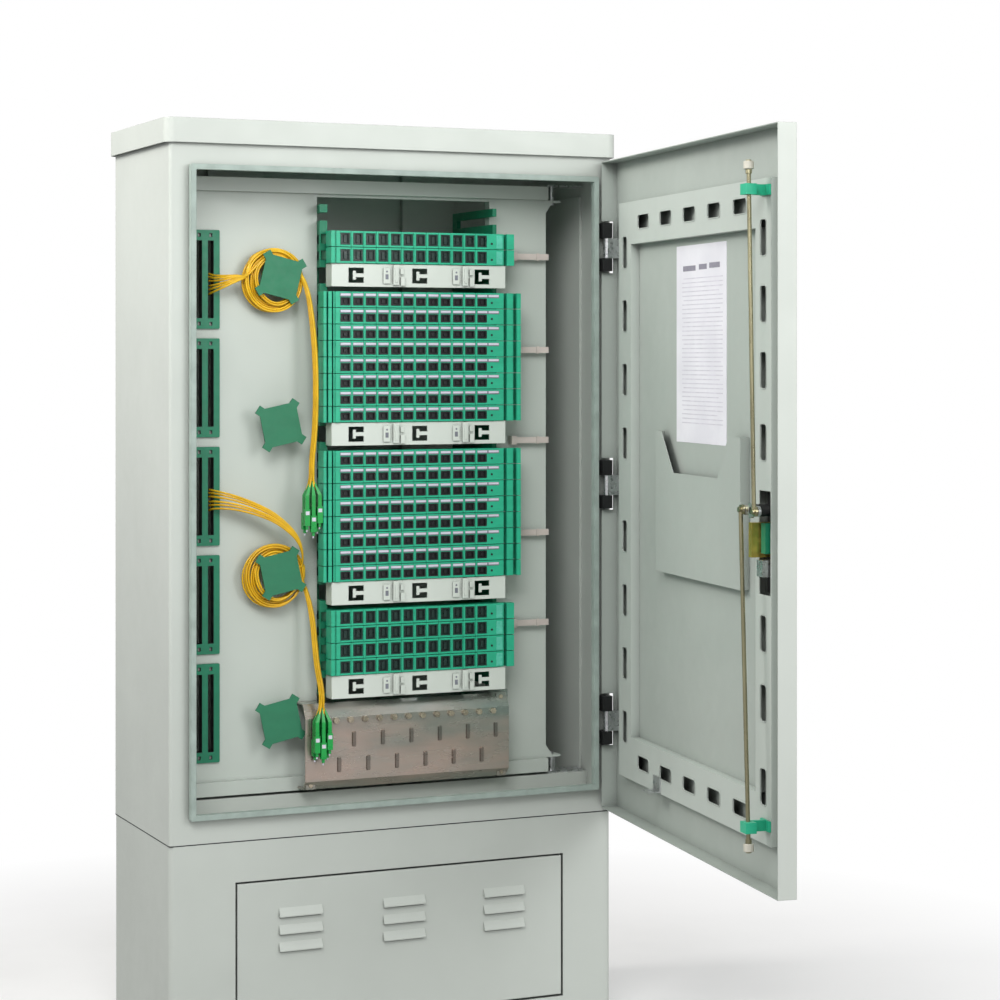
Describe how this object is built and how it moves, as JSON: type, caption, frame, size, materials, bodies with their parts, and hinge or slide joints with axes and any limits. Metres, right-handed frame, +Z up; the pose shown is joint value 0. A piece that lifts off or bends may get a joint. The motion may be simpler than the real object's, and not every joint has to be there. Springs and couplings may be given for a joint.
{
  "type": "roadside utility cabinet",
  "caption": "Steel street cabinet on a louvred plinth, its door open on a swing frame of fibre trays, cable spools, entry plates and loose patch leads.",
  "frame": {"origin": "centre of the plinth's four anchor holes, on the ground", "axes": "+X to the right seen from the front, +Y to the back, +Z up"},
  "size_m": [0.766, 1.0538, 1.45],
  "materials": {
    "paint": "smooth powder coat",
    "door_inside": "smooth powder coat",
    "edge_seal": "matt",
    "black_metal": "satin black",
    "zinc": "zinc plated",
    "yellow_zinc": "yellow passivated",
    "galvanised": "galvanised",
    "cream_plastic": "matt",
    "tray_green": "satin",
    "spool_green": "matt",
    "plate_green": "matt",
    "label_grey": "matt",
    "strap": "matt",
    "paper": "matt",
    "fibre": "satin",
    "connector": "gloss"
  },
  "bodies": {
    "cabinet": {"plinth_shell": "paint", "plinth_cover": "paint", "body_shell": "paint", "roof_cap": "paint", "door_seal": "edge_seal", "hinge_brackets": "black_metal", "hinge_pins": "zinc", "pivot_brackets": "galvanised"},
    "door": {"door_pan": "paint", "door_frame": "door_inside", "document_pocket": "door_inside", "instruction_sheet": "paper", "hinge_leaves": "zinc", "rod_guides": "tray_green", "lock_case": "black_metal", "stay_bracket": "galvanised"},
    "handle": {"door_handle": "black_metal", "lock_cam": "zinc"},
    "upper_rod": {"upper_rod": "yellow_zinc"},
    "lower_rod": {"lower_rod": "yellow_zinc"},
    "upper_roller": {"upper_roller": "cream_plastic"},
    "lower_roller": {"lower_roller": "cream_plastic"},
    "swing_frame": {"swing_frame": "paint", "entry_plates": "plate_green", "fibre_spools": "spool_green", "tray_racks": "plate_green", "label_strips": "label_grey", "retaining_straps": "strap", "clamp_plate": "galvanised", "clamp_screws": "zinc", "upper_tail": "fibre", "upper_coil": "fibre", "upper_run": "fibre", "upper_connectors": "connector", "lower_tail": "fibre", "lower_coil": "fibre", "lower_run": "fibre", "lower_connectors": "connector"},
    "tray_01": {"tray_01": "tray_green"},
    "tray_02": {"tray_02": "tray_green"},
    "tray_03": {"tray_03": "tray_green"},
    "tray_04": {"tray_04": "tray_green"},
    "tray_05": {"tray_05": "tray_green"},
    "tray_06": {"tray_06": "tray_green"},
    "tray_07": {"tray_07": "tray_green"},
    "tray_08": {"tray_08": "tray_green"},
    "tray_09": {"tray_09": "tray_green"},
    "tray_10": {"tray_10": "tray_green"},
    "tray_11": {"tray_11": "tray_green"},
    "tray_12": {"tray_12": "tray_green"},
    "tray_13": {"tray_13": "tray_green"},
    "tray_14": {"tray_14": "tray_green"},
    "tray_15": {"tray_15": "tray_green"},
    "tray_16": {"tray_16": "tray_green"},
    "tray_17": {"tray_17": "tray_green"},
    "tray_18": {"tray_18": "tray_green"},
    "tray_19": {"tray_19": "tray_green"},
    "tray_20": {"tray_20": "tray_green"},
    "tray_21": {"tray_21": "tray_green"},
    "tray_22": {"tray_22": "tray_green"}
  },
  "joints": [
    {"name": "door_hinge", "type": "hinge", "parent": "cabinet", "child": "door", "pos_m": [0.3605, -0.1695, 0.872], "axis": [0, 0, 1], "range_deg": [-82.4, 33.6]},
    {"name": "handle_turn", "type": "hinge", "parent": "door", "child": "handle", "pos_m": [0.27295, -0.82569, 0.87], "axis": [-0.9912, 0.1323, 0], "range_deg": [0, 90]},
    {"name": "upper_rod_slide", "type": "slide", "parent": "door", "child": "upper_rod", "axis": [0.0053, 0.0396, 0.9992], "range_m": [0, 0.024]},
    {"name": "lower_rod_slide", "type": "slide", "parent": "door", "child": "lower_rod", "axis": [-0.0083, -0.062, -0.998], "range_m": [0, 0.024]},
    {"name": "upper_roller_spin", "type": "hinge", "parent": "upper_rod", "child": "upper_roller", "pos_m": [0.24651, -0.8272, 1.345], "axis": [0.0053, 0.0396, 0.9992], "continuous": true},
    {"name": "lower_roller_spin", "type": "hinge", "parent": "lower_rod", "child": "lower_roller", "pos_m": [0.24651, -0.8272, 0.407], "axis": [-0.0083, -0.062, -0.998], "continuous": true},
    {"name": "swing_frame_hinge", "type": "hinge", "parent": "cabinet", "child": "swing_frame", "pos_m": [0.316, -0.0495, 0.872], "axis": [0, 0, 1], "range_deg": [0, 50]},
    {"name": "tray_01_slide", "type": "slide", "parent": "swing_frame", "child": "tray_01", "axis": [0, -1, 0], "range_m": [0, 0.085]},
    {"name": "tray_02_slide", "type": "slide", "parent": "swing_frame", "child": "tray_02", "axis": [0, -1, 0], "range_m": [0, 0.085]},
    {"name": "tray_03_slide", "type": "slide", "parent": "swing_frame", "child": "tray_03", "axis": [0, -1, 0], "range_m": [0, 0.085]},
    {"name": "tray_04_slide", "type": "slide", "parent": "swing_frame", "child": "tray_04", "axis": [0, -1, 0], "range_m": [0, 0.085]},
    {"name": "tray_05_slide", "type": "slide", "parent": "swing_frame", "child": "tray_05", "axis": [0, -1, 0], "range_m": [0, 0.085]},
    {"name": "tray_06_slide", "type": "slide", "parent": "swing_frame", "child": "tray_06", "axis": [0, -1, 0], "range_m": [0, 0.085]},
    {"name": "tray_07_slide", "type": "slide", "parent": "swing_frame", "child": "tray_07", "axis": [0, -1, 0], "range_m": [0, 0.085]},
    {"name": "tray_08_slide", "type": "slide", "parent": "swing_frame", "child": "tray_08", "axis": [0, -1, 0], "range_m": [0, 0.085]},
    {"name": "tray_09_slide", "type": "slide", "parent": "swing_frame", "child": "tray_09", "axis": [0, -1, 0], "range_m": [0, 0.085]},
    {"name": "tray_10_slide", "type": "slide", "parent": "swing_frame", "child": "tray_10", "axis": [0, -1, 0], "range_m": [0, 0.085]},
    {"name": "tray_11_slide", "type": "slide", "parent": "swing_frame", "child": "tray_11", "axis": [0, -1, 0], "range_m": [0, 0.085]},
    {"name": "tray_12_slide", "type": "slide", "parent": "swing_frame", "child": "tray_12", "axis": [0, -1, 0], "range_m": [0, 0.085]},
    {"name": "tray_13_slide", "type": "slide", "parent": "swing_frame", "child": "tray_13", "axis": [0, -1, 0], "range_m": [0, 0.085]},
    {"name": "tray_14_slide", "type": "slide", "parent": "swing_frame", "child": "tray_14", "axis": [0, -1, 0], "range_m": [0, 0.085]},
    {"name": "tray_15_slide", "type": "slide", "parent": "swing_frame", "child": "tray_15", "axis": [0, -1, 0], "range_m": [0, 0.085]},
    {"name": "tray_16_slide", "type": "slide", "parent": "swing_frame", "child": "tray_16", "axis": [0, -1, 0], "range_m": [0, 0.085]},
    {"name": "tray_17_slide", "type": "slide", "parent": "swing_frame", "child": "tray_17", "axis": [0, -1, 0], "range_m": [0, 0.085]},
    {"name": "tray_18_slide", "type": "slide", "parent": "swing_frame", "child": "tray_18", "axis": [0, -1, 0], "range_m": [0, 0.085]},
    {"name": "tray_19_slide", "type": "slide", "parent": "swing_frame", "child": "tray_19", "axis": [0, -1, 0], "range_m": [0, 0.085]},
    {"name": "tray_20_slide", "type": "slide", "parent": "swing_frame", "child": "tray_20", "axis": [0, -1, 0], "range_m": [0, 0.085]},
    {"name": "tray_21_slide", "type": "slide", "parent": "swing_frame", "child": "tray_21", "axis": [0, -1, 0], "range_m": [0, 0.085]},
    {"name": "tray_22_slide", "type": "slide", "parent": "swing_frame", "child": "tray_22", "axis": [0, -1, 0], "range_m": [0, 0.085]}
  ],
  "couplings": [
    {"joint": "upper_rod_slide", "follows": "handle_turn", "m_per_rad": 0.0152},
    {"joint": "lower_rod_slide", "follows": "handle_turn", "m_per_rad": 0.0152}
  ]
}
